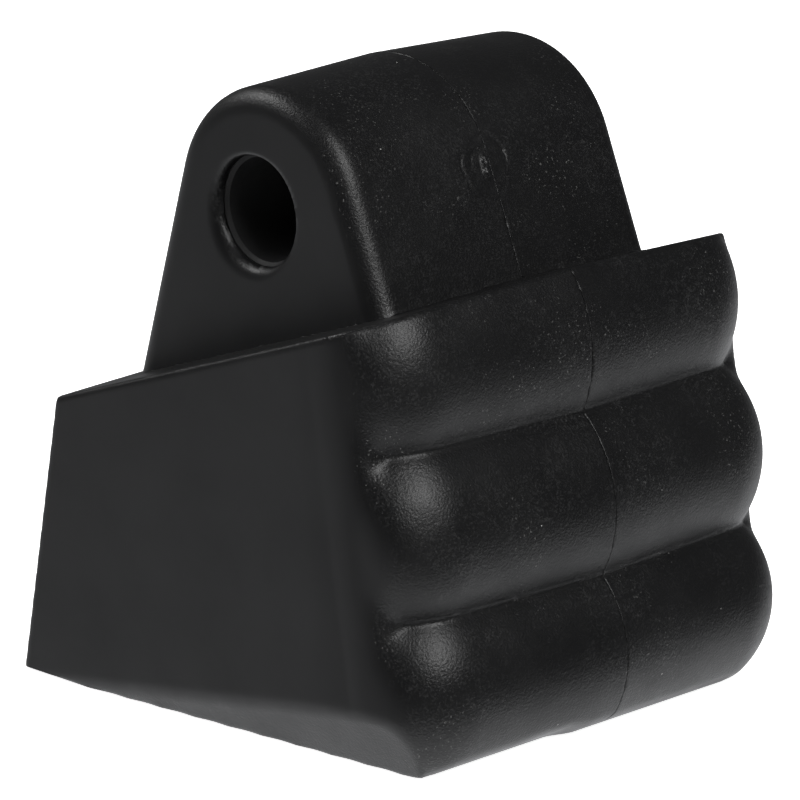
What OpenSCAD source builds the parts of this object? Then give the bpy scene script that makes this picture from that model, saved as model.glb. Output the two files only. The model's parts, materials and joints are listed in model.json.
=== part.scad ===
// Cleat horn: a hollow two-part moulded horn with a three-roll grip front and a
// pivot lug that turns on a captive sleeve. Millimetres, +Z up, grip front at -Y.
// Origin: centre of the footprint, on the base plane.

/* [Body] */
// Overall width across both halves
body_w = 63; // [61:0.5:65]
// Overall depth, rear foot to lowest roll
body_d = 68.4; // [67.6:0.1:69.2]
// Height of the sloping top where it would meet the rear foot line
top_z = 32.5; // [31.5:0.1:33.5]
// Rise of the sloping top towards the front, degrees
top_slope = 19.65; // [19:0.05:20.5]
// Fall of the sloping top from the joint out to each side, degrees
top_fall = 1.6; // [1:0.1:2.4]
// Forward lean of the rear wall, degrees
rear_lean = 10.5; // [9.5:0.5:11.5]
// Mould draft of the front wall, degrees
wall_draft = 3; // [2.5:0.5:3.5]
// Mould draft of the rear wall, degrees
rear_draft = 1.2; // [0.8:0.1:1.8]
// Radius of the upright front corners
corner_r = 11.3; // [10.8:0.1:11.8]
// Backward lean of the front corners, degrees
corner_lean = 9.9; // [9.4:0.1:10.4]
// Downward tilt of the lower side facets, degrees
facet_dip = 31.2; // [29:0.1:33]
// Turn of the lower side facets towards the front, degrees
facet_turn = 5.6; // [5:0.1:6.4]
// Distance behind the origin where the lower side facets start
facet_start = 25; // [24:0.5:26]
// Distance in front of the origin where the front foot bevel starts
bevel_reach = 27.6; // [27.2:0.1:28.4]
// Downward tilt of the front foot bevel, degrees
bevel_tilt = 60; // [56:1:64]

/* [Grip rolls] */
// Radius of the lowest roll
roll_low_r = 12.3; // [12:0.1:12.6]
// Height of the lowest roll centre
roll_low_z = 9.3; // [9:0.1:9.6]
// Radius of the middle roll
roll_mid_r = 14.3; // [14:0.1:14.6]
// Height of the middle roll centre
roll_mid_z = 26.0; // [25.7:0.1:26.3]
// Distance of the middle roll crest in front of the origin
roll_mid_reach = 32.1; // [31.8:0.1:32.4]
// Radius of the top roll
roll_top_r = 12.4; // [12.1:0.1:12.7]
// Height of the top roll centre
roll_top_z = 43.1; // [42.8:0.1:43.4]
// Distance of the top roll crest in front of the origin
roll_top_reach = 28.3; // [28:0.1:28.6]

/* [Lug] */
// Lug width along the pivot axis
lug_w = 44; // [42:1:46]
// Lug crown radius at the joint
lug_r = 15.3; // [15:0.1:16]
// Height of the crown centre
crown_z = 58.3; // [57.8:0.1:58.8]
// Distance of the crown centre behind the origin
crown_y = 2.4; // [2:0.1:3]
// Draft of the lug, degrees
lug_draft = 2; // [1.5:0.5:2.5]
// Forward spread of the front flank, degrees
lug_front_lean = 22.3; // [21.5:0.1:23]
// Backward spread of the rear flank, degrees
lug_rear_lean = 16.1; // [15.5:0.1:17]
// Radius of the lug side edges
lug_edge_r = 2.4; // [2:0.1:2.8]

/* [Pivot] */
// Pivot axis height
pivot_z = 58.7; // [58.4:0.1:59]
// Pivot axis distance behind the origin
pivot_y = 3.3; // [2.8:0.1:3.6]
// Radius of the mouth in each lug face
mouth_r = 6.5; // [6.4:0.1:7]
// Rounding of the mouth edge
mouth_round = 1.0; // [0.5:0.1:1.1]
// Thickness of the lip that keeps the sleeve in
lip_t = 1.3; // [1.2:0.1:2]
// Sleeve outside radius
sleeve_r = 8.0; // [7.8:0.1:8.4]
// Sleeve bore radius, for a 12 mm pin
sleeve_bore_r = 6.05; // [6.02:0.01:6.1]
// Radial running clearance of the sleeve in its housing
sleeve_gap = 0.05; // [0.03:0.01:0.1]
// End float of the sleeve at each lip
sleeve_float = 0.15; // [0.1:0.05:0.4]

/* [Shell] */
// Side wall thickness
side_wall = 7.5; // [7:0.5:8]
// Floor thickness
floor_t = 4.5; // [4:0.5:5]
// Rib thickness
rib_t = 3; // [2.5:0.5:3.5]
// Screw boss radius
boss_r = 6.2; // [6:0.1:6.6]
// Dowel boss radius
dowel_boss_r = 4.5; // [4.2:0.1:5]

/* [Fixings] */
// Counterbore radius for the screw heads
counterbore_r = 3.8; // [3.7:0.1:4.2]
// Screw head radius
head_r = 3.5; // [3.3:0.1:3.6]
// Screw head height
head_h = 4; // [3.5:0.5:4.5]
// Distance from the joint to the underside of a head
seat_x = 14; // [13:1:15]
// Screw shank radius
screw_r = 1.98; // [1.9:0.01:2]
// Screw reach beyond the joint
screw_reach = 10; // [9:1:11]
// Hexagon socket width across flats
socket_af = 3; // [2.5:0.5:3]
// Threaded insert outside radius
insert_r = 2.8; // [2.7:0.1:3.2]
// Threaded insert length
insert_len = 8; // [7:1:9]
// Dowel radius
dowel_r = 2; // [1.9:0.1:2.2]
// Dowel length
dowel_len = 16; // [14:1:18]

/* [Hidden] */
$fn = 96;
half_w = body_w / 2;
half_d = body_d / 2;
half_lug = lug_w / 2;
big = 200;
over = 5;
// circle centres of the rolls, as distances in front of the origin
low_cy = half_d * cos(wall_draft) - roll_low_r;
mid_cy = roll_mid_reach - roll_mid_r;
top_cy = roll_top_reach - roll_top_r;
// core that backs the rolls
core_low = 29.2;
core_mid = 26.2;
core_top = 21.7;
core_top_z = 60;
valley_low_z = 18.5;
valley_top_z = 37.2;
// corner axis behind the crests, and how far the rolls are carried round it
corner_x = half_w / cos(wall_draft) - corner_r;
axis_y = low_cy + (roll_low_r - corner_r) / cos(corner_lean);
corner_sweep = 100;
// column behind the roll ends
column_r = 6;
column_lean = 8.5;
column_x = half_w - column_r;
column_y = 21.9;
// lug section
lug_corner_x = half_lug - lug_edge_r;
lug_corner_r = lug_r - tan(lug_draft) * lug_corner_x - lug_edge_r / cos(lug_draft);
flank_len = 29;
flank_drop = 0.1;
flank_lap = 0.8;
flank_core = 12;
crown_lap = 9;
// pivot
housing_x = half_lug - lip_t;
housing_r = sleeve_r + sleeve_gap;
sleeve_half = housing_x - sleeve_float;
sleeve_bevel = 0.4;
// shell
cavity_x = half_w - side_wall;
cavity_rear = 29.3;
cavity_back = 24.6;
cavity_back_z = 30.4;
cavity_low = 25;
cavity_mid = 21;
cavity_top = 18.5;
cavity_top_z = 45.8;
rib_ys = [11, -4];
// fixings: [y, z] of each axis
screw_at = [[24, 10], [-15, 14], [17, 31], [-13, 41]];
dowel_at = [[3.5, 10], [-20, 28]];
clear_r = 2.2;
insert_gap = 0.02;
insert_bore_r = 2.05;
insert_pocket = insert_len + 0.3;
tip_room = 2.5;
groove_w = 1.2;
groove_d = 0.35;
socket_depth = 2.2;
head_bevel = 0.5;
dowel_gap = 0.02;
dowel_bevel = 0.5;
dowel_room = 0.4;
plastic = [0.12, 0.12, 0.13];
polymer = [0.2, 0.2, 0.21];
steel = [0.62, 0.63, 0.65];
brass = [0.78, 0.62, 0.3];

// ---- outlines, drawn as (y, z) ----

// hollow of one half, seen from the side
module cavity_outline() {
  difference() {
    polygon([[cavity_rear, floor_t], [-cavity_low, floor_t], [-cavity_low, valley_low_z],
      [-cavity_mid, valley_top_z], [-cavity_top, cavity_top_z], [cavity_back, cavity_back_z]]);
    for (y = rib_ys) translate([y - rib_t / 2, 0]) square([rib_t, big]);
    for (p = screw_at) translate(p) circle(boss_r);
    for (p = dowel_at) translate(p) circle(dowel_boss_r);
  }
}

// draws a (y, z) outline and gives it length along +X
module along_x(len) {
  rotate([90, 0, 90]) linear_extrude(len) children();
}

// cylinder along +X at a given y, z
module x_rod(x, y, z, r, len) {
  translate([x, y, z]) rotate([0, 90, 0]) cylinder(r = r, h = len);
}

// ---- trimming blocks of one half (+X side) ----

// straight rods of the three rolls, and the core that backs them
module rolls_straight() {
  x_rod(-over, -low_cy, roll_low_z, roll_low_r, corner_x + over);
  x_rod(-over, -mid_cy, roll_mid_z, roll_mid_r, corner_x + over);
  x_rod(-over, -top_cy, roll_top_z, roll_top_r, corner_x + over);
  translate([-over, 0, 0]) along_x(corner_x + over)
    polygon([[big, -over], [-core_low, -over], [-core_low, valley_low_z],
      [-core_mid, valley_top_z], [-core_top, core_top_z], [big, core_top_z]]);
}

// roll outline against distance from the leaning corner axis
module roll_arc(cy, z, r) {
  translate([(cy - axis_y) * cos(corner_lean) + (z - roll_low_z) * sin(corner_lean),
    (axis_y - cy) * sin(corner_lean) + (z - roll_low_z) * cos(corner_lean)]) circle(r);
}

// rolls carried round the corner
module rolls_corner() {
  translate([corner_x, -axis_y, roll_low_z]) rotate([-corner_lean, 0, 0])
    rotate([0, 0, -90]) for (i = [0:2]) rotate_extrude(angle = corner_sweep)
      intersection() {
        roll_arc([low_cy, mid_cy, top_cy][i], [roll_low_z, roll_mid_z, roll_top_z][i],
          [roll_low_r, roll_mid_r, roll_top_r][i]);
        translate([0, -big / 2]) square(big);
      }
}

module rolls_block() {
  rotate([0, 0, wall_draft]) {
    rolls_straight();
    rolls_corner();
  }
}

// upright block that carries the flat side face and the filled ends of the valleys
module column_block() {
  translate([0, 0, roll_low_z]) rotate([-column_lean, 0, 0])
    translate([0, 0, -big / 2]) linear_extrude(big) {
      polygon([[-over, -column_y - column_r], [column_x, -column_y - column_r],
        [column_x, -column_y], [half_w, -column_y], [half_w, big], [-over, big]]);
      translate([column_x, -column_y]) circle(column_r);
    }
}

module top_block() {
  translate([0, half_d, top_z]) rotate([-top_slope, top_fall, 0])
    translate([-big / 2, -big / 2, -big]) cube(big);
}

module rear_block() {
  translate([0, half_d, 0]) rotate([rear_lean, 0, -rear_draft])
    translate([-big / 2, -big, -big / 2]) cube(big);
}

module facet_block() {
  translate([half_w, facet_start, 0]) rotate([0, facet_dip, -facet_turn])
    translate([-big, -big / 2, -big / 2]) cube(big);
}

// narrow bevel under the lowest roll
module front_foot_block() {
  translate([0, -bevel_reach, 0]) rotate([bevel_tilt, 0, 0])
    translate([-big / 2, 0, -big / 2]) cube(big);
}

module body_half() {
  intersection() {
    union() {
      rolls_block();
      column_block();
    }
    top_block();
    rear_block();
    facet_block();
    front_foot_block();
    translate([0, -big / 2, 0]) cube([half_w, big, big]);
  }
}

// ---- lug of one half ----

// lug section: distance from the crown centre against distance from the joint;
// "drop" sets it in, "core" carries it past the axis
module lug_section(drop, core) {
  translate([-drop, 0]) {
    polygon([[-core, 0], [lug_r, 0],
      [lug_corner_r + lug_edge_r * cos(lug_draft), lug_corner_x + lug_edge_r * sin(lug_draft)],
      [lug_corner_r, lug_corner_x], [lug_corner_r, half_lug], [-core, half_lug]]);
    translate([lug_corner_r, lug_corner_x]) circle(lug_edge_r);
  }
}

module flank(lean) {
  rotate([lean, 0, 0]) translate([0, 0, -flank_len]) rotate([0, 0, -90])
    linear_extrude(flank_len + flank_lap) lug_section(flank_drop, flank_core);
}

// crown carried a little past both flanks, so that it stands proud of them by a hair
module lug_half_block() {
  translate([0, crown_y, crown_z]) {
    rotate([0, 90, 0]) rotate([0, 0, 90 + lug_rear_lean - crown_lap])
      rotate_extrude(angle = 180 - lug_rear_lean - lug_front_lean + 2 * crown_lap)
        lug_section(0, 0);
    flank(-lug_front_lean);
    mirror([0, 1, 0]) flank(-lug_rear_lean);
  }
}

// housing, retaining lip and rounded mouth of one half
module pivot_cut() {
  x_rod(-over, pivot_y, pivot_z, housing_r, housing_x + over);
  x_rod(-over, pivot_y, pivot_z, mouth_r, half_lug + 2 * over);
  translate([0, pivot_y, pivot_z]) rotate([0, 90, 0]) rotate_extrude()
    difference() {
      translate([mouth_r - mouth_round, half_lug - mouth_round])
        square([2 * mouth_round, over]);
      translate([mouth_r + mouth_round, half_lug - mouth_round]) circle(mouth_round);
      translate([mouth_r + mouth_round, half_lug - mouth_round - over]) square(2 * over);
    }
}

// one half before its fixing holes, on the +X side
module half_shell() {
  difference() {
    union() {
      body_half();
      lug_half_block();
    }
    translate([-over, 0, 0]) along_x(cavity_x + over) cavity_outline();
    pivot_cut();
  }
}

module dowel_holes() {
  for (p = dowel_at)
    x_rod(-over, p[0], p[1], dowel_r + dowel_gap, over + dowel_len / 2 + dowel_room);
}

// ---- pieces ----

module right_half() {
  color(plastic) difference() {
    half_shell();
    dowel_holes();
    for (p = screw_at) {
      x_rod(-over, p[0], p[1], clear_r, big);
      x_rod(seat_x, p[0], p[1], counterbore_r, big);
    }
  }
}

module left_half() {
  color(plastic) mirror([1, 0, 0]) difference() {
    half_shell();
    dowel_holes();
    for (p = screw_at) {
      x_rod(-over, p[0], p[1], insert_r + insert_gap, over + insert_pocket);
      x_rod(-over, p[0], p[1], clear_r, over + screw_reach + tip_room);
    }
  }
}

module pivot_sleeve() {
  color(polymer) translate([-sleeve_half, pivot_y, pivot_z]) rotate([0, 90, 0])
    rotate_extrude() polygon([
      [sleeve_bore_r, sleeve_bevel], [sleeve_bore_r + sleeve_bevel, 0],
      [sleeve_r - sleeve_bevel, 0], [sleeve_r, sleeve_bevel],
      [sleeve_r, 2 * sleeve_half - sleeve_bevel],
      [sleeve_r - sleeve_bevel, 2 * sleeve_half],
      [sleeve_bore_r + sleeve_bevel, 2 * sleeve_half],
      [sleeve_bore_r, 2 * sleeve_half - sleeve_bevel]]);
}

module screw(i) {
  len = seat_x + screw_reach;
  color(steel) translate([seat_x, screw_at[i][0], screw_at[i][1]]) rotate([0, 90, 0])
    difference() {
      rotate_extrude() polygon([[0, -len], [screw_r - head_bevel, -len],
        [screw_r, head_bevel - len], [screw_r, 0], [head_r, 0],
        [head_r, head_h - head_bevel], [head_r - head_bevel, head_h], [0, head_h]]);
      translate([0, 0, head_h - socket_depth])
        cylinder(r = socket_af / 2 / cos(30), h = over, $fn = 6);
    }
}

module insert(i) {
  color(brass) translate([-insert_len, screw_at[i][0], screw_at[i][1]]) rotate([0, 90, 0])
    rotate_extrude() polygon([[insert_bore_r, 0], [insert_r - groove_d, 0],
      [insert_r - groove_d, groove_w], [insert_r, groove_w],
      [insert_r, insert_len / 2 - groove_w / 2], [insert_r - groove_d, insert_len / 2 - groove_w / 2],
      [insert_r - groove_d, insert_len / 2 + groove_w / 2], [insert_r, insert_len / 2 + groove_w / 2],
      [insert_r, insert_len], [insert_bore_r, insert_len]]);
}

module dowel(i) {
  color(steel) translate([-dowel_len / 2, dowel_at[i][0], dowel_at[i][1]]) rotate([0, 90, 0])
    rotate_extrude() polygon([[0, 0], [dowel_r - dowel_bevel, 0], [dowel_r, dowel_bevel],
      [dowel_r, dowel_len - dowel_bevel], [dowel_r - dowel_bevel, dowel_len], [0, dowel_len]]);
}

module screw_1() { screw(0); }
module screw_2() { screw(1); }
module screw_3() { screw(2); }
module screw_4() { screw(3); }
module insert_1() { insert(0); }
module insert_2() { insert(1); }
module insert_3() { insert(2); }
module insert_4() { insert(3); }
module dowel_1() { dowel(0); }
module dowel_2() { dowel(1); }

left_half();
right_half();
pivot_sleeve();
screw_1();
screw_2();
screw_3();
screw_4();
insert_1();
insert_2();
insert_3();
insert_4();
dowel_1();
dowel_2();
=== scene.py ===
"""Looks for the cleat horn: two moulded halves, the sleeve in the lug, and the fixings inside.

The two halves are modelled here as distance fields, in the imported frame, and meshed by dual
contouring, so that the rolls, the big corner rounds and the fading valleys are one soft skin.
Lengths are millimetres until a mesh is made.
"""

import json
import math

import bpy
import numpy as np
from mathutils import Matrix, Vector


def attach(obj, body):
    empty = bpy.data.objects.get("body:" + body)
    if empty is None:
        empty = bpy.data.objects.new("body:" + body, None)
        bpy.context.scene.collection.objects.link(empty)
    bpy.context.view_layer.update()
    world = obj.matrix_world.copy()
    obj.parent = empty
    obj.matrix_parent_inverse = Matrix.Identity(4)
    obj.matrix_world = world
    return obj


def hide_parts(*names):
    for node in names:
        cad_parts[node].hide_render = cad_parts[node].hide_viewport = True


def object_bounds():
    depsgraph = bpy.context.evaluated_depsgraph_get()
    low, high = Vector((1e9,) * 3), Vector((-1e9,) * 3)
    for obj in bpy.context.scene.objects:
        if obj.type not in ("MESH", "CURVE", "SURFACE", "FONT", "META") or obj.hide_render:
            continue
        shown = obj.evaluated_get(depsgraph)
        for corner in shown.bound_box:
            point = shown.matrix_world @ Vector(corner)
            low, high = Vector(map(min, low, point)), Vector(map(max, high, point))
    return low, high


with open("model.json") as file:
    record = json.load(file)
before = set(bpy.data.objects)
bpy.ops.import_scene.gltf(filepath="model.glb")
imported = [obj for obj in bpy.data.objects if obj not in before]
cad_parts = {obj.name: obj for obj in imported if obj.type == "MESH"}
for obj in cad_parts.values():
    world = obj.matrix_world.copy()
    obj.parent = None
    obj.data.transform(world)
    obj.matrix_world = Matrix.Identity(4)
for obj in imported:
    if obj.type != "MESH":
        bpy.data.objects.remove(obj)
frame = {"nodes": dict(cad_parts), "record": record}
cad_low, cad_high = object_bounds()
MM = 0.001

# ---- driving sizes, millimetres and degrees ----
# Most are the part's own. The top roll, the foot bevel, the lug's edge and the bore's mouth differ a
# little from the plainer CAD, to follow the photograph.
HALF_W = cad_high.x / MM
HALF_D = -cad_low.y / MM
WALL_DRAFT = 3.0
CORNER_R = 11.3
CORNER_LEAN = 9.9
ROLLS = [  # (front, height, radius), from the bottom up
    (HALF_D * math.cos(math.radians(WALL_DRAFT)), 9.3, 12.3),
    (32.1, 26.0, 14.3),
    (28.3, 43.6, 15.0),
]
VALLEY_R = (0.5, 5.0)  # fillet between the rolls: across the front, and where they fade
CORE_LINE = ((26.2, 37.2), (21.7, 60.0))  # solid behind the rolls: (front, height) at two heights
CORE_FRONT = 29.2

# The plain end round the corner, into which the rolls fade.
END_R = 10.35
END_SPREAD = 0.021  # growth of its radius per millimetre up
END_EASE = 0.2  # lets it go behind the corner, where the side wall takes over
END_EDGE_R = 1.0
END_TURN = (15.0, 0.26, 50.0)  # angle where the fade starts, its rise per millimetre up, and its end

# The cuts that shape the block.
TOP_Z = 32.5
TOP_SLOPE = 19.65
TOP_FALL = 1.6
REAR_LEAN = 10.5
REAR_DRAFT = 1.2
FACET_START = 25.0
FACET_DIP = 31.2
FACET_TURN = 5.6
BEVEL_REACH = 27.2
BEVEL_TILT = 60.0
BEVEL_STEP = 1.1  # the bevel's small step, and where it is across the object
BEVEL_STEP_X = (-7.0, -3.0)

# The lug, its bore and the sleeve's housing.
PIVOT = [v / MM for v in frame["record"]["behaviour"]["joints"][0]["pos_m"]]
LUG_HALF = 22.0
LUG_R = 15.3
CROWN = (2.4, 58.3)
LUG_DRAFT = 2.0
LUG_EDGE_R = 2.8
LUG_FRONT_LEAN = 22.3
LUG_REAR_LEAN = 16.1
LUG_FOOT_Z = 30.0
LUG_FOOT_R = 0.05
MOUTH_R = 6.45
MOUTH_ROUND = (0.4, 1.3)  # least lip radius, and how much more there is on the worn side
MOUTH_WORN = -50.0  # direction of the worn side
HOUSING_R = 8.05
HOUSING_X = 20.7

# The hollow and the fixing holes. Places are (y, z).
SIDE_WALL = 7.5
FLOOR_T = 4.5
CAVITY = [(29.3, FLOOR_T), (-25.0, FLOOR_T), (-25.0, 18.5), (-21.0, 37.2), (-18.5, 45.8), (24.6, 30.4)]
RIB_T = 3.0
RIB_YS = (11.0, -4.0)
BOSS_R = 6.2
DOWEL_BOSS_R = 4.5
SCREWS = [(24.0, 10.0), (-15.0, 14.0), (17.0, 31.0), (-13.0, 41.0)]
DOWELS = [(3.5, 10.0), (-20.0, 28.0)]
SEAT_X = 14.0
COUNTERBORE_R = 3.8
CLEAR_R = 2.2
INSERT_HOLE_R = 2.82
INSERT_HOLE_X = 8.3
TIP_X = 12.5
DOWEL_HOLE_R = 2.02
DOWEL_HOLE_X = 8.4

# Edges, and the joint between the halves, whose edge is finer on the crown.
EDGE_R = 0.5
BASE_EDGE_R = EDGE_R * 0.6
REAR_EDGE_R = EDGE_R * 2
JOINT_GAP = 0.01
JOINT_R = (0.06, 0.025)
JOINT_FADE = (46.0, 54.0)

# The gate mark on the lug's front.
GATE = (-0.8, -12.2, 63.0)
GATE_SQUEEZE = 1.25
GATE_RING_R = 4.0
GATE_RING_T = 0.28
GATE_INNER_R = 2.2
GATE_INNER_T = 0.3
GATE_DISH = 0.08
GATE_DISH_R = (2.4, 3.9)
GATE_NUB = (0.12, 0.26)  # height, and how much more there is where it is torn
GATE_NUB_R = (0.5, 1.3)
GATE_DEPTH = 3  # the mark is kept off anything further inside than this

# The grid: the cell, and finer lines beside the joint and round the gate mark.
CELL = 0.5
FINE = 0.22
MARGIN = 0.8
JOINT_LINES = [-0.25, -0.05, 0.03, 0.065, 0.1, 0.18, 0.35]
FINE_X = (0.57, 4.6)
FINE_Y = (-14.4, -10.2)
FINE_Z = (58.6, 67.4)
SLOPE_STEP = 0.004  # half the span over which a field's gradient is taken
PULL = 0.02  # weight that holds a vertex near the middle of its crossings
FLAT = 0.985  # agreement of the normals in a cell, above which it has no sharp edge
SHARP_ANGLE = 50


# ---- distance field tools ----
def round_max(a, b, r):
    """Meeting of two shapes, with the edge between them rounded to radius r."""
    return np.minimum(np.maximum(a, b), -r) + np.hypot(np.maximum(a + r, 0), np.maximum(b + r, 0))


def round_min(a, b, r):
    """Join of two shapes, with a fillet of radius r between them."""
    return np.maximum(np.minimum(a, b), r) - np.hypot(np.maximum(r - a, 0), np.maximum(r - b, 0))


def turn(u, v, degrees):
    c, s = math.cos(math.radians(degrees)), math.sin(math.radians(degrees))
    return u * c - v * s, u * s + v * c


def line_distance(u, v, a, b):
    """Signed distance from the line a to b, positive on its right-hand side."""
    du, dv = b[0] - a[0], b[1] - a[1]
    return ((u - a[0]) * dv - (v - a[1]) * du) / math.hypot(du, dv)


def smooth_step(value, low, high):
    t = np.clip((value - low) / (high - low), 0, 1)
    return t * t * (3 - 2 * t)


# ---- the outside skin ----
def grip(x, y, z):
    """The three rolls, straight across the front, carried round the leaning corner and fading there."""
    low_front, low_z, low_r = ROLLS[0]
    axis_front = low_front - low_r + (low_r - CORNER_R) / math.cos(math.radians(CORNER_LEAN))
    corner_x = HALF_W / math.cos(math.radians(WALL_DRAFT)) - CORNER_R
    xl, yl = turn(x, y, -WALL_DRAFT)
    u = xl - corner_x
    back, t = turn(yl + axis_front, z - low_z, CORNER_LEAN)
    v = -back
    s = np.hypot(np.maximum(u, 0), np.maximum(v, 0)) + np.minimum(np.maximum(u, v), 0)

    def around(front, height):
        b, h = turn(axis_front - front, height - low_z, CORNER_LEAN)
        return -b, h

    swept = np.degrees(np.arctan2(np.maximum(v, 0), np.maximum(u, 1e-6)))
    full = smooth_step(swept, END_TURN[0] + END_TURN[1] * t, END_TURN[2])
    valley = VALLEY_R[0] * full + VALLEY_R[1] * (1 - full)
    d = None
    for front, height, r in ROLLS:
        sc, tc = around(front - r, height)
        roll = np.hypot(np.maximum(s - sc, 0), t - tc) - r
        d = roll if d is None else round_min(d, roll, valley)
    core = line_distance(s, t, around(*CORE_LINE[1]), around(*CORE_LINE[0]))
    core = np.maximum(np.maximum(-core, s - (CORE_FRONT - axis_front)), u)
    d = round_min(d, core, valley)
    end = s - END_R - END_SPREAD * t + END_EASE * np.minimum(v, 0)
    return full * d + (1 - full) * end


def plane(x, y, z, through, normal):
    n = Vector(normal).normalized()
    return n.x * (x - through[0]) + n.y * (y - through[1]) + n.z * (z - through[2])


def body(x, y, z, side):
    d = round_max(grip(x, y, z), x - HALF_W, END_EDGE_R)
    slope, fall = math.radians(TOP_SLOPE), math.radians(TOP_FALL)
    top = plane(x, y, z, (0, HALF_D, TOP_Z),
                (math.cos(slope) * math.sin(fall), math.sin(slope), math.cos(slope) * math.cos(fall)))
    lean, draft = math.radians(REAR_LEAN), math.radians(REAR_DRAFT)
    rear = plane(x, y, z, (0, HALF_D, 0),
                 (math.cos(lean) * math.sin(draft), math.cos(lean) * math.cos(draft), math.sin(lean)))
    dip, swing = math.radians(FACET_DIP), math.radians(FACET_TURN)
    facet = plane(x, y, z, (HALF_W, FACET_START, 0),
                  (math.cos(dip) * math.cos(swing), -math.cos(dip) * math.sin(swing), -math.sin(dip)))
    tilt = math.radians(BEVEL_TILT)
    reach = BEVEL_REACH + BEVEL_STEP * smooth_step(x * side, *BEVEL_STEP_X)
    bevel = plane(x, y + reach, z, (0, 0, 0), (0, -math.cos(tilt), -math.sin(tilt)))
    d = round_max(d, rear, REAR_EDGE_R)
    d = round_max(d, top, EDGE_R)
    d = round_max(d, facet, EDGE_R)
    d = round_max(d, bevel, EDGE_R)
    return round_max(d, -z, BASE_EDGE_R)


def lug(x, y, z):
    """Lug on the pivot axis: a drafted crown with a leaning flank on each side."""
    v, w = y - CROWN[0], z - CROWN[1]
    a, b = math.radians(LUG_FRONT_LEAN), math.radians(LUG_REAR_LEAN)
    front = -v * math.cos(a) + w * math.sin(a)
    rear = v * math.cos(b) + w * math.sin(b)
    angle = np.arctan2(v, w)
    crown = (angle > -(math.pi / 2 - a)) & (angle < math.pi / 2 - b)
    reach = np.where(crown, np.hypot(v, w), np.maximum(front, rear))
    draft = math.radians(LUG_DRAFT)
    skin = (reach - LUG_R + x * math.tan(draft)) * math.cos(draft)
    return np.maximum(round_max(skin, x - LUG_HALF, LUG_EDGE_R), LUG_FOOT_Z - z)


def gate_mark(x, y, z, side):
    """Depth of the shallow ring and broken nub left on the lug's front by the moulding gate."""
    lean = math.radians(LUG_FRONT_LEAN)
    across = (x * side - GATE[0]) * GATE_SQUEEZE
    up = (y - GATE[1]) * math.sin(lean) + (z - GATE[2]) * math.cos(lean)
    out = (z - GATE[2]) * math.sin(lean) - (y - GATE[1]) * math.cos(lean)
    r = np.hypot(across, up)
    turned = np.arctan2(up, across)
    wander = 0.3 * np.sin(2 * turned + 1.0) + 0.2 * np.sin(3 * turned) + 0.1 * np.sin(7 * turned)
    ring_depth = 0.08 + 0.06 * np.sin(2 * turned + 0.3) + 0.04 * np.sin(5 * turned)
    ring = np.exp(-((r - GATE_RING_R - wander) / GATE_RING_T) ** 2) * ring_depth
    inner_depth = np.maximum(0.1 * np.sin(turned - 0.7), 0)
    inner = np.exp(-((r - GATE_INNER_R - 0.3 * np.sin(3 * turned)) / GATE_INNER_T) ** 2) * inner_depth
    torn = 0.5 + 0.5 * np.sin(6.1 * across + 2.0 * up) * np.sin(3.3 * up - 4.7 * across + 1.0)
    from_nub = np.hypot(across * 1.7, up * 0.7)
    nub = (GATE_NUB[0] + GATE_NUB[1] * torn) * (1 - smooth_step(from_nub, *GATE_NUB_R))
    dish = GATE_DISH * (1 - smooth_step(r, *GATE_DISH_R))
    return np.where(out > -GATE_DEPTH, ring + inner + dish - nub, 0)


def outside(x, y, z, side):
    lug_skin = lug(x, y, z) + gate_mark(x, y, z, side)
    return round_min(body(x, y, z, side), lug_skin, LUG_FOOT_R)


# ---- the hollow, the housing and the fixing holes ----
def rod(y, z, centre, r):
    return np.hypot(y - centre[0], z - centre[1]) - r


def hollow(x, y, z):
    d = x - (HALF_W - SIDE_WALL)
    for a, b in zip(CAVITY, CAVITY[1:] + CAVITY[:1]):
        d = np.maximum(d, line_distance(y, z, b, a))
    for rib in RIB_YS:
        d = np.maximum(d, RIB_T / 2 - np.abs(y - rib))
    for centre in SCREWS:
        d = np.maximum(d, -rod(y, z, centre, BOSS_R))
    for centre in DOWELS:
        d = np.maximum(d, -rod(y, z, centre, DOWEL_BOSS_R))
    return d


def half(x, y, z, side):
    """One half as if it were the right one: x is the distance from the joint on both sides."""
    screw_side = side > 0
    round_the_bore = np.arctan2(z - PIVOT[2], y - PIVOT[1]) - math.radians(MOUTH_WORN)
    lip = MOUTH_ROUND[0] + MOUTH_ROUND[1] * (0.5 + 0.5 * np.cos(round_the_bore)) ** 2
    skin = round_max(outside(x, y, z, side), -rod(y, z, PIVOT[1:], MOUTH_R), lip)
    if screw_side:
        for centre in SCREWS:
            counterbore = np.maximum(rod(y, z, centre, COUNTERBORE_R), SEAT_X - x)
            skin = round_max(skin, -counterbore, BASE_EDGE_R)
    edge = JOINT_R[0] + (JOINT_R[1] - JOINT_R[0]) * smooth_step(z, *JOINT_FADE)
    skin = round_max(skin, JOINT_GAP - x, edge)
    d = np.maximum(skin, -hollow(x, y, z))
    d = np.maximum(d, -np.maximum(rod(y, z, PIVOT[1:], HOUSING_R), x - HOUSING_X))
    for centre in SCREWS:
        if screw_side:
            hole = rod(y, z, centre, CLEAR_R)
        else:
            hole = np.minimum(np.maximum(rod(y, z, centre, INSERT_HOLE_R), x - INSERT_HOLE_X),
                              np.maximum(rod(y, z, centre, CLEAR_R), x - TIP_X))
        d = np.maximum(d, -hole)
    for centre in DOWELS:
        d = np.maximum(d, -np.maximum(rod(y, z, centre, DOWEL_HOLE_R), x - DOWEL_HOLE_X))
    return d


# ---- dual contouring ----
def gradient(field, p):
    g = np.empty_like(p)
    for k in range(3):
        a, b = p.copy(), p.copy()
        a[:, k] += SLOPE_STEP
        b[:, k] -= SLOPE_STEP
        g[:, k] = (field(*a.T) - field(*b.T)) / (2 * SLOPE_STEP)
    return g


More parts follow.
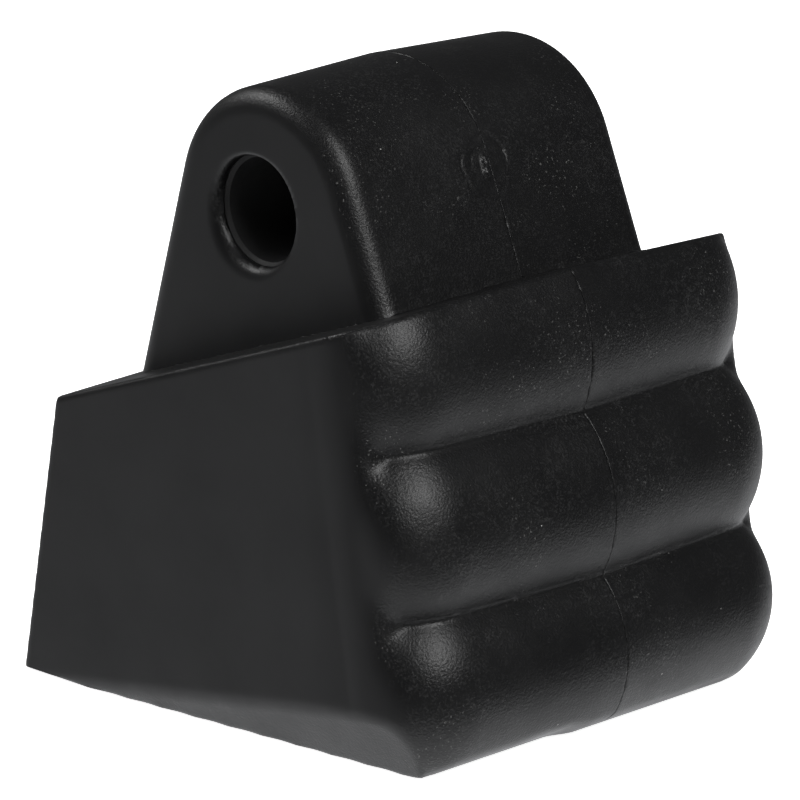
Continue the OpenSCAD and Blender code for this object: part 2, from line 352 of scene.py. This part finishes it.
def contour(field, axes):
    """Closed quad mesh of field = 0 on a rectilinear grid, with sharp edges kept."""
    grid = np.meshgrid(*axes, indexing="ij")
    d = field(*grid)
    inside = d < 0
    cells = np.array([len(a) - 1 for a in axes])
    points, owners, flips = [], [], []
    for k in range(3):
        lo, hi = [slice(None)] * 3, [slice(None)] * 3
        lo[k], hi[k] = slice(0, -1), slice(1, None)
        lo, hi = tuple(lo), tuple(hi)
        edge = np.argwhere(inside[lo] != inside[hi])
        da, db = d[lo][tuple(edge.T)], d[hi][tuple(edge.T)]
        p = np.stack([axes[m][edge[:, m]] for m in range(3)], axis=1)
        width = axes[k][edge[:, k] + 1] - axes[k][edge[:, k]]
        p[:, k] += width * da / (da - db)
        i, j = (k + 1) % 3, (k + 2) % 3
        ring = []
        for di, dj in ((0, 0), (-1, 0), (-1, -1), (0, -1)):
            c = edge.copy()
            c[:, i] += di
            c[:, j] += dj
            ring.append(np.ravel_multi_index(c.T, cells, mode="clip"))
        points.append(p)
        owners.append(np.stack(ring, axis=1))
        flips.append(db < da)
    points, owners, flips = (np.concatenate(a) for a in (points, owners, flips))
    normals = gradient(field, points)
    normals /= np.linalg.norm(normals, axis=1, keepdims=True) + 1e-12

    ids, cell = np.unique(owners, return_inverse=True)
    cell = cell.reshape(-1)
    count = np.bincount(cell)
    four = np.repeat(np.arange(len(points)), 4)

    def gather(values):
        return np.bincount(cell, weights=values[four])

    mean = np.stack([gather(points[:, k]) for k in range(3)], axis=1) / count[:, None]
    spread = np.linalg.norm([gather(normals[:, k]) for k in range(3)], axis=0) / count
    offset = np.einsum("ij,ij->i", normals[four], points[four] - mean[cell])
    lhs = np.zeros((len(ids), 3, 3))
    rhs = np.zeros((len(ids), 3))
    for a in range(3):
        rhs[:, a] = np.bincount(cell, weights=normals[four, a] * offset)
        for b in range(3):
            lhs[:, a, b] = gather(normals[:, a] * normals[:, b])
    lhs += np.eye(3) * PULL * count[:, None, None]
    vertex = mean + np.linalg.solve(lhs, rhs[:, :, None])[:, :, 0]
    corner = np.stack(np.unravel_index(ids, cells), axis=1)
    for k in range(3):
        low, high = axes[k][corner[:, k]], axes[k][corner[:, k] + 1]
        vertex[:, k] = np.clip(vertex[:, k], low, high)
    smooth = spread > FLAT
    p = mean[smooth]
    for _ in range(3):
        g = gradient(field, p)
        p = p - g * (field(*p.T) / (np.einsum("ij,ij->i", g, g) + 1e-12))[:, None]
    vertex[smooth] = p
    quads = cell.reshape(-1, 4)
    quads[flips] = quads[flips][:, ::-1]
    return vertex, quads


def steps(low, high, dense, extra=()):
    """Grid lines from low to high, closer in the dense stretch, with the extra lines put in."""
    fine = np.arange(dense[0], dense[1], FINE)
    line = np.arange(low, high + CELL, CELL)
    line = line[(line < dense[0] - CELL * 0.4) | (line > dense[1] + CELL * 0.2)]
    line = np.concatenate([line, fine])
    for e in extra:
        line = line[np.abs(line - e) > FINE * 0.5]
    return np.sort(np.concatenate([line, extra]))


def make_half(name, side, material):
    axes = [
        steps(1.3, HALF_W + 0.6, FINE_X, JOINT_LINES),
        steps(-HALF_D - MARGIN, HALF_D + MARGIN, FINE_Y),
        steps(-0.7, CROWN[1] + LUG_R + MARGIN, FINE_Z),
    ]
    vertex, quads = contour(lambda x, y, z: half(x, y, z, side), axes)
    vertex[:, 0] *= side
    if side < 0:
        quads = quads[:, ::-1]
    mesh = bpy.data.meshes.new(name)
    mesh.vertices.add(len(vertex))
    mesh.vertices.foreach_set("co", (vertex * MM).ravel())
    mesh.loops.add(quads.size)
    mesh.loops.foreach_set("vertex_index", quads.ravel().astype(np.int32))
    mesh.polygons.add(len(quads))
    mesh.polygons.foreach_set("loop_start", np.arange(0, quads.size, 4, dtype=np.int32))
    mesh.update(calc_edges=True)
    mesh.validate()
    mesh.shade_smooth()
    mesh.set_sharp_from_angle(angle=math.radians(SHARP_ANGLE))
    mesh.materials.append(material)
    obj = bpy.data.objects.new(name, mesh)
    bpy.context.scene.collection.objects.link(obj)
    return obj


# ---- materials ----
class Nodes:
    """Short way to write a node tree."""

    def __init__(self, name):
        self.material = bpy.data.materials.new(name)
        self.material.use_nodes = True
        self.tree = self.material.node_tree
        self.shader = next(n for n in self.tree.nodes if n.type == "BSDF_PRINCIPLED")
        self.place = self.tree.nodes.new("ShaderNodeTexCoord").outputs["Object"]

    def add(self, kind, inputs=(), **settings):
        node = self.tree.nodes.new(kind)
        for key, value in settings.items():
            setattr(node, key, value)
        for key, value in dict(inputs).items():
            self.put(node.inputs[key], value)
        return node

    def put(self, socket, value):
        if isinstance(value, bpy.types.NodeSocket):
            self.tree.links.new(value, socket)
        else:
            socket.default_value = value

    def noise(self, size, detail=3.0, roughness=0.5):
        """Noise whose features are about this size in millimetres."""
        return self.add("ShaderNodeTexNoise", {"Vector": self.place, "Scale": 1 / (size * MM),
                                               "Detail": detail, "Roughness": roughness}).outputs["Fac"]

    def math(self, operation, a, b=0.0):
        return self.add("ShaderNodeMath", {0: a, 1: b}, operation=operation).outputs[0]

    def fit(self, value, low, high, to_low=0.0, to_high=1.0):
        return self.add("ShaderNodeMapRange", {"Value": value, "From Min": low, "From Max": high,
                                               "To Min": to_low, "To Max": to_high}).outputs["Result"]

    def mix(self, factor, a, b):
        node = self.add("ShaderNodeMix", data_type="RGBA")
        colours = [s for s in node.inputs if s.type == "RGBA"]
        self.put(node.inputs[0], factor)
        self.put(colours[0], a)
        self.put(colours[1], b)
        return next(s for s in node.outputs if s.type == "RGBA")

    def bump(self, height, strength, distance, normal=None):
        """Bump for a height of 0 to 1, with its distance in millimetres."""
        node = self.add("ShaderNodeBump", {"Height": height, "Strength": strength,
                                           "Distance": distance * MM})
        if normal is not None:
            self.put(node.inputs["Normal"], normal)
        return node.outputs["Normal"]


def grey(level, blue=0.0):
    return (level, level, level + blue, 1)


def horn_plastic():
    """Black moulded plastic: grained on the front, smooth on the flat sides, with a little dust."""
    n = Nodes("horn_black_plastic")
    facing = n.add("ShaderNodeSeparateXYZ", {0: n.add("ShaderNodeNewGeometry").outputs["Normal"]})
    sideways = n.math("ABSOLUTE", facing.outputs["X"])
    grained = n.fit(sideways, 0.97, 0.8, 0.06, 1.0)
    grain = n.math("ADD", n.math("MULTIPLY", n.noise(0.28, 2.0), 0.7),
                   n.math("MULTIPLY", n.noise(1.1, 3.0), 0.3))
    waves = n.noise(9.0, 2.0)
    fine = n.bump(n.math("MULTIPLY", grain, grained), 0.55, 0.15)
    n.put(n.shader.inputs["Normal"], n.bump(waves, 0.12, 0.25, fine))

    # Colour: clouded black, grain peaks painted paler in patches as a painted highlight on the grain,
    # powder in the grain, dust specks.
    cloud = n.fit(n.noise(14.0, 4.0), 0.35, 0.65)
    colour = n.mix(cloud, grey(0.0021, 0.0002), grey(0.0036, 0.0002))
    # Painted highlight: the grain's peaks are painted paler in patches, standing in for the light the
    # grain's bumps catch.
    patch = n.math("MULTIPLY", n.fit(n.noise(9.5, 3.0), 0.42, 0.6, 0.2, 1.0), grained)
    painted_glint_peaks = n.math("MULTIPLY", n.fit(grain, 0.51, 0.62), patch)
    colour = n.mix(painted_glint_peaks, colour, grey(0.011, 0.0002))
    lint = n.math("MULTIPLY", n.fit(n.noise(0.3, 1.0), 0.67, 0.75),
                  n.fit(n.noise(11.0, 3.0), 0.5, 0.62))
    colour = n.mix(n.math("MULTIPLY", lint, grained), colour, grey(0.06, -0.002))
    specks = n.add("ShaderNodeTexVoronoi", {"Vector": n.place, "Scale": 1 / (4.5 * MM),
                                            "Randomness": 1.0})
    near = n.math("LESS_THAN", specks.outputs["Distance"], 0.021)
    draw = n.add("ShaderNodeSeparateColor", {0: specks.outputs["Color"]}).outputs[0]
    dust = n.math("MULTIPLY", near, n.math("GREATER_THAN", draw, 0.4))
    n.put(n.shader.inputs["Base Color"], n.mix(dust, colour, grey(0.3, -0.01)))

    patchy = n.fit(n.noise(6.0, 5.0, 0.6), 0.3, 0.7, 0.36, 0.46)
    rough = n.math("ADD", patchy, n.fit(grained, 0.0, 1.0, 0.06, 0.0))
    n.put(n.shader.inputs["Roughness"], n.math("MAXIMUM", rough, n.math("MULTIPLY", dust, 0.9)))
    n.shader.inputs["IOR"].default_value = 1.48
    return n.material


def sleeve_plastic():
    """Plain bearing plastic with faint turning lines."""
    n = Nodes("sleeve_bearing_plastic")
    rings = n.add("ShaderNodeTexWave", {"Vector": n.place, "Scale": 1 / (1.2 * MM), "Distortion": 0.6},
                  bands_direction="X").outputs["Fac"]
    n.put(n.shader.inputs["Normal"], n.bump(rings, 0.15, 0.02))
    n.put(n.shader.inputs["Base Color"],
          n.mix(n.noise(3.0, 4.0), grey(0.008, 0.0004), grey(0.013, 0.0002)))
    n.put(n.shader.inputs["Roughness"], n.fit(n.noise(1.5, 4.0), 0.3, 0.7, 0.5, 0.65))
    n.shader.inputs["Specular IOR Level"].default_value = 0.25
    return n.material


def metal(name, dark, light, rough_low, rough_high, scratch):
    """Machined metal: fine lines round the axis, slight tarnish."""
    n = Nodes(name)
    stretched = n.add("ShaderNodeMapping", {"Vector": n.place, "Scale": (1.0, 0.12, 0.12)})
    lines = n.add("ShaderNodeTexNoise", {"Vector": stretched.outputs["Vector"],
                                         "Scale": 1 / (0.12 * MM), "Detail": 4.0})
    n.put(n.shader.inputs["Normal"], n.bump(lines.outputs["Fac"], scratch, 0.01))
    n.put(n.shader.inputs["Base Color"], n.mix(n.noise(1.6, 5.0), dark, light))
    n.put(n.shader.inputs["Roughness"], n.fit(n.noise(0.8, 4.0), 0.3, 0.7, rough_low, rough_high))
    n.shader.inputs["Metallic"].default_value = 1.0
    return n.material


def dress(node, material):
    """Give a carried-over CAD node its material."""
    obj = frame["nodes"][node]
    if not obj.material_slots:
        obj.data.materials.append(None)
    for s in obj.material_slots:
        s.link = "OBJECT"
        s.material = material


black = horn_plastic()
for side, node in ((-1, "left_half"), (1, "right_half")):
    piece = make_half(node + "_moulding", side, black)
    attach(piece, "horn")
    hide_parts(node)

dress("pivot_sleeve", sleeve_plastic())
steel = metal("screw_zinc_steel", (0.46, 0.46, 0.47, 1), (0.66, 0.66, 0.67, 1), 0.24, 0.42, 0.25)
ground = metal("dowel_ground_steel", (0.52, 0.52, 0.54, 1), (0.7, 0.7, 0.72, 1), 0.16, 0.3, 0.15)
brass = metal("insert_turned_brass", (0.6, 0.42, 0.16, 1), (0.8, 0.6, 0.28, 1), 0.22, 0.38, 0.25)
for name in frame["nodes"]:
    if name.startswith("screw"):
        dress(name, steel)
    elif name.startswith("insert"):
        dress(name, brass)
    elif name.startswith("dowel"):
        dress(name, ground)


# ---- stage: pale floor, soft lights, camera ----
FLOOR_REACH = 60.0  # metres
FLOOR_GAP = 0.0002
FLOOR_GLOW = 0.95


def stage_floor():
    """White floor that glows, so that it is as bright and as free of shadow as the photograph's."""
    mesh = bpy.data.meshes.new("floor")
    corners = [(x * FLOOR_REACH, y * FLOOR_REACH, 0) for x, y in ((-1, -1), (1, -1), (1, 1), (-1, 1))]
    mesh.from_pydata(corners, [], [(0, 1, 2, 3)])
    floor = bpy.data.objects.new("floor", mesh)
    floor.location.z = cad_low.z - FLOOR_GAP
    n = Nodes("floor_white")
    n.put(n.shader.inputs["Base Color"], n.mix(n.noise(60.0, 3.0), grey(0.86), grey(0.9)))
    n.shader.inputs["Roughness"].default_value = 0.9
    n.shader.inputs["Specular IOR Level"].default_value = 0.1
    n.shader.inputs["Emission Color"].default_value = (1, 1, 1, 1)
    n.shader.inputs["Emission Strength"].default_value = FLOOR_GLOW
    mesh.materials.append(n.material)
    floor.visible_glossy = False
    bpy.context.scene.collection.objects.link(floor)


def direction(azimuth, elevation):
    """Unit vector from the object: azimuth 0 is the front, and it grows to the right."""
    a, e = math.radians(azimuth), math.radians(elevation)
    return Vector((math.sin(a) * math.cos(e), -math.cos(a) * math.cos(e), math.sin(e)))


def softbox(name, azimuth, elevation, distance, size, power, glossy=True):
    """Area light aimed at the middle of the object; without glossy it fills and isn't mirrored."""
    light = bpy.data.lights.new(name, "AREA")
    light.shape = "RECTANGLE"
    light.size, light.size_y = size
    light.energy = power
    obj = bpy.data.objects.new(name, light)
    back = direction(azimuth, elevation)
    obj.location = (cad_low + cad_high) / 2 + back * distance
    obj.rotation_euler = (-back).to_track_quat("-Z", "Y").to_euler()
    obj.visible_glossy = glossy
    bpy.context.scene.collection.objects.link(obj)


stage_floor()
softbox("front", -12, 42, 1.0, (0.34, 0.56), 5.6)
softbox("back_left", -157, 42, 1.0, (0.5, 0.3), 3.4)
softbox("wide_left", -120, 50, 1.6, (1.2, 1.2), 14.0, glossy=False)
softbox("wide_right", 60, 50, 1.6, (1.2, 1.2), 14.0, glossy=False)


WORLD_BRIGHT_WAY = (0.15, 0.2, -1.0)
WORLD_EDGE = (0.2, 0.62)  # where along that way the room turns into the table
WORLD_LEVELS = (0.08, 1.15)


def studio_world():
    """Dim room above, white table below: the brightness depends on the direction only."""
    w = bpy.data.worlds.new("studio")
    w.use_nodes = True
    tree = w.node_tree
    place = tree.nodes.new("ShaderNodeTexCoord").outputs["Generated"]
    along = tree.nodes.new("ShaderNodeVectorMath")
    along.operation = "DOT_PRODUCT"
    tree.links.new(place, along.inputs[0])
    along.inputs[1].default_value = WORLD_BRIGHT_WAY
    fit = tree.nodes.new("ShaderNodeMapRange")
    fit.interpolation_type = "SMOOTHSTEP"
    tree.links.new(along.outputs["Value"], fit.inputs["Value"])
    fit.inputs["From Min"].default_value, fit.inputs["From Max"].default_value = WORLD_EDGE
    fit.inputs["To Min"].default_value, fit.inputs["To Max"].default_value = WORLD_LEVELS
    tree.links.new(fit.outputs["Result"], tree.nodes["Background"].inputs["Strength"])
    tree.nodes["Background"].inputs["Color"].default_value = (0.97, 0.98, 1.0, 1)
    bpy.context.scene.world = w


studio_world()
bpy.context.scene.view_settings.view_transform = "Standard"

# The camera, fitted to the photograph.
CAMERA_AZIMUTH, CAMERA_ELEVATION = -45.0, 16.4
CAMERA_DISTANCE = 0.69449
CAMERA_TARGET = (0, 0.0002, 0.030)
camera = bpy.data.cameras.new("camera")
camera.sensor_width = 36.0
camera.lens = 270.0
camera.shift_x, camera.shift_y = -0.0159, 0.03
camera.clip_start, camera.clip_end = 0.01, 50.0
viewer = bpy.data.objects.new("camera", camera)
back = direction(CAMERA_AZIMUTH, CAMERA_ELEVATION)
viewer.location = Vector(CAMERA_TARGET) + back * CAMERA_DISTANCE
viewer.rotation_euler = (-back).to_track_quat("-Z", "Y").to_euler()
bpy.context.scene.collection.objects.link(viewer)
bpy.context.scene.camera = viewer
